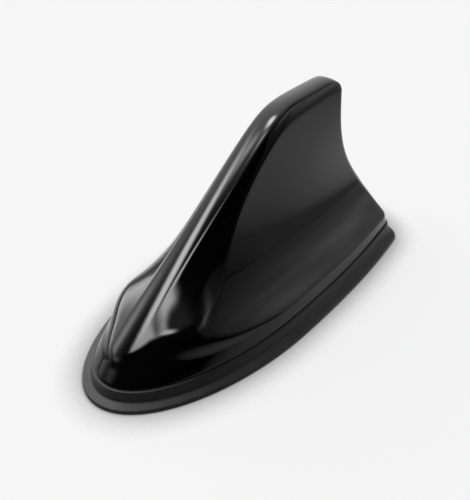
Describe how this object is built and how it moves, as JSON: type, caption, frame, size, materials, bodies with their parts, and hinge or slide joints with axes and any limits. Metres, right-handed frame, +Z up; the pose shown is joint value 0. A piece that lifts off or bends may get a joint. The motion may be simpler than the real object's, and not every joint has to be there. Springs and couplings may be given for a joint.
{
  "type": "shark fin aerial",
  "caption": "Car roof aerial: a fin-shaped gloss housing on a stepped rubber gasket, closed by a floor that carries the boards, coil and lead inlet.",
  "frame": {"origin": "middle of the underside, which lies on the roof", "axes": "+X from the nose to the tail, +Y to one side, +Z up from the roof"},
  "size_m": [0.1512, 0.0672, 0.0726],
  "materials": {
    "gloss_housing": "high gloss lacquer",
    "gasket_rubber": "matte moulded rubber",
    "floor_plastic": "fine moulded grain",
    "foam_tape": "foam tape under a peel-off film",
    "screw_steel": "zinc plated",
    "board_laminate": "solder mask over glass laminate",
    "copper": "bare copper",
    "tinned_sheet": "tinned sheet",
    "foam_strip": "open foam",
    "former_plastic": "satin moulded",
    "chip_resin": "moulded resin",
    "chip_ceramic": "fired ceramic",
    "ferrite": "sintered",
    "pin_brass": "tinned brass",
    "grommet_rubber": "matte moulded rubber",
    "clamp_plastic": "satin moulded"
  },
  "bodies": {
    "root": {"radome": "gloss_housing", "base_gasket": "gasket_rubber", "base_plate": "floor_plastic", "adhesive_pad": "foam_tape", "housing_screws": "screw_steel", "amplifier_board": "board_laminate", "board_screws": "screw_steel", "antenna_board": "board_laminate", "radiator_trace": "copper", "top_load_cap": "tinned_sheet", "damping_foam": "foam_strip", "coil_former": "former_plastic", "loading_coil": "copper", "shield_can": "tinned_sheet", "amplifier_transistor": "chip_resin", "capacitors": "chip_ceramic", "choke": "ferrite", "terminal_pins": "pin_brass", "cable_grommet": "grommet_rubber", "cable_clamp": "clamp_plastic", "clamp_screws": "screw_steel"}
  },
  "joints": []
}
